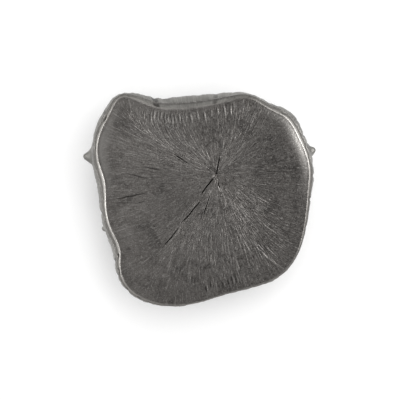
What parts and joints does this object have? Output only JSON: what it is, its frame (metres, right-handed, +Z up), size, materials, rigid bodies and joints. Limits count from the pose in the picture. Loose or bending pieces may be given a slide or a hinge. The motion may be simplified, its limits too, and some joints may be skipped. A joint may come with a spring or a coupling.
{
  "type": "side table",
  "caption": "Free-standing side table cast in metal as a debarked tree trunk section, with a flat sawn end-grain top and screw-adjusted levelling feet.",
  "frame": {"origin": "on the floor under the middle of the overall box, with the feet wound in", "axes": "+Z up, out of the table top; +X to the right and +Y to the back when the top is seen from above with the smaller side stubs left and right"},
  "size_m": [0.4868, 0.46, 0.46],
  "materials": {
    "cast_face": "sand-cast aluminium, dark antique pewter finish, wire-brushed sawn face, burnished rim",
    "cast_bark": "sand-cast aluminium, dark antique pewter finish, satin, polished on the high folds",
    "gasket_rubber": "black sheet rubber, matte",
    "zinc_steel": "bright zinc plate",
    "plate_paint": "black powder coat, fine texture",
    "pad_nylon": "black moulded nylon",
    "sole_rubber": "dark grey rubber, matte"
  },
  "bodies": {
    "table": {"top_casting": "cast_face", "trunk_casting": "cast_bark", "top_gasket": "gasket_rubber", "top_bolts": "zinc_steel", "top_washers": "zinc_steel", "base_plate": "plate_paint", "base_screws": "zinc_steel", "base_washers": "zinc_steel", "foot_nuts": "zinc_steel"},
    "foot_1_pad": {"foot_pad_1": "pad_nylon", "foot_sole_1": "sole_rubber"},
    "foot_1_stud": {"foot_stud_1": "zinc_steel"},
    "foot_2_pad": {"foot_pad_2": "pad_nylon", "foot_sole_2": "sole_rubber"},
    "foot_2_stud": {"foot_stud_2": "zinc_steel"},
    "foot_3_pad": {"foot_pad_3": "pad_nylon", "foot_sole_3": "sole_rubber"},
    "foot_3_stud": {"foot_stud_3": "zinc_steel"},
    "foot_4_pad": {"foot_pad_4": "pad_nylon", "foot_sole_4": "sole_rubber"},
    "foot_4_stud": {"foot_stud_4": "zinc_steel"}
  },
  "joints": [
    {"name": "foot_1_height", "type": "slide", "parent": "table", "child": "foot_1_pad", "axis": [0, 0, -1], "range_m": [0, 0.012]},
    {"name": "foot_1_screw", "type": "hinge", "parent": "foot_1_pad", "child": "foot_1_stud", "pos_m": [0.12348, 0.1116, 0.012], "axis": [0, 0, -1], "range_deg": [0, 2880]},
    {"name": "foot_2_height", "type": "slide", "parent": "table", "child": "foot_2_pad", "axis": [0, 0, -1], "range_m": [0, 0.012]},
    {"name": "foot_2_screw", "type": "hinge", "parent": "foot_2_pad", "child": "foot_2_stud", "pos_m": [-0.12652, 0.1116, 0.012], "axis": [0, 0, -1], "range_deg": [0, 2880]},
    {"name": "foot_3_height", "type": "slide", "parent": "table", "child": "foot_3_pad", "axis": [0, 0, -1], "range_m": [0, 0.012]},
    {"name": "foot_3_screw", "type": "hinge", "parent": "foot_3_pad", "child": "foot_3_stud", "pos_m": [-0.12652, -0.1244, 0.012], "axis": [0, 0, -1], "range_deg": [0, 2880]},
    {"name": "foot_4_height", "type": "slide", "parent": "table", "child": "foot_4_pad", "axis": [0, 0, -1], "range_m": [0, 0.012]},
    {"name": "foot_4_screw", "type": "hinge", "parent": "foot_4_pad", "child": "foot_4_stud", "pos_m": [0.12348, -0.1244, 0.012], "axis": [0, 0, -1], "range_deg": [0, 2880]}
  ],
  "couplings": [
    {"joint": "foot_1_screw", "follows": "foot_1_height", "rad_per_m": 4188.8},
    {"joint": "foot_2_screw", "follows": "foot_2_height", "rad_per_m": 4188.8},
    {"joint": "foot_3_screw", "follows": "foot_3_height", "rad_per_m": 4188.8},
    {"joint": "foot_4_screw", "follows": "foot_4_height", "rad_per_m": 4188.8}
  ]
}
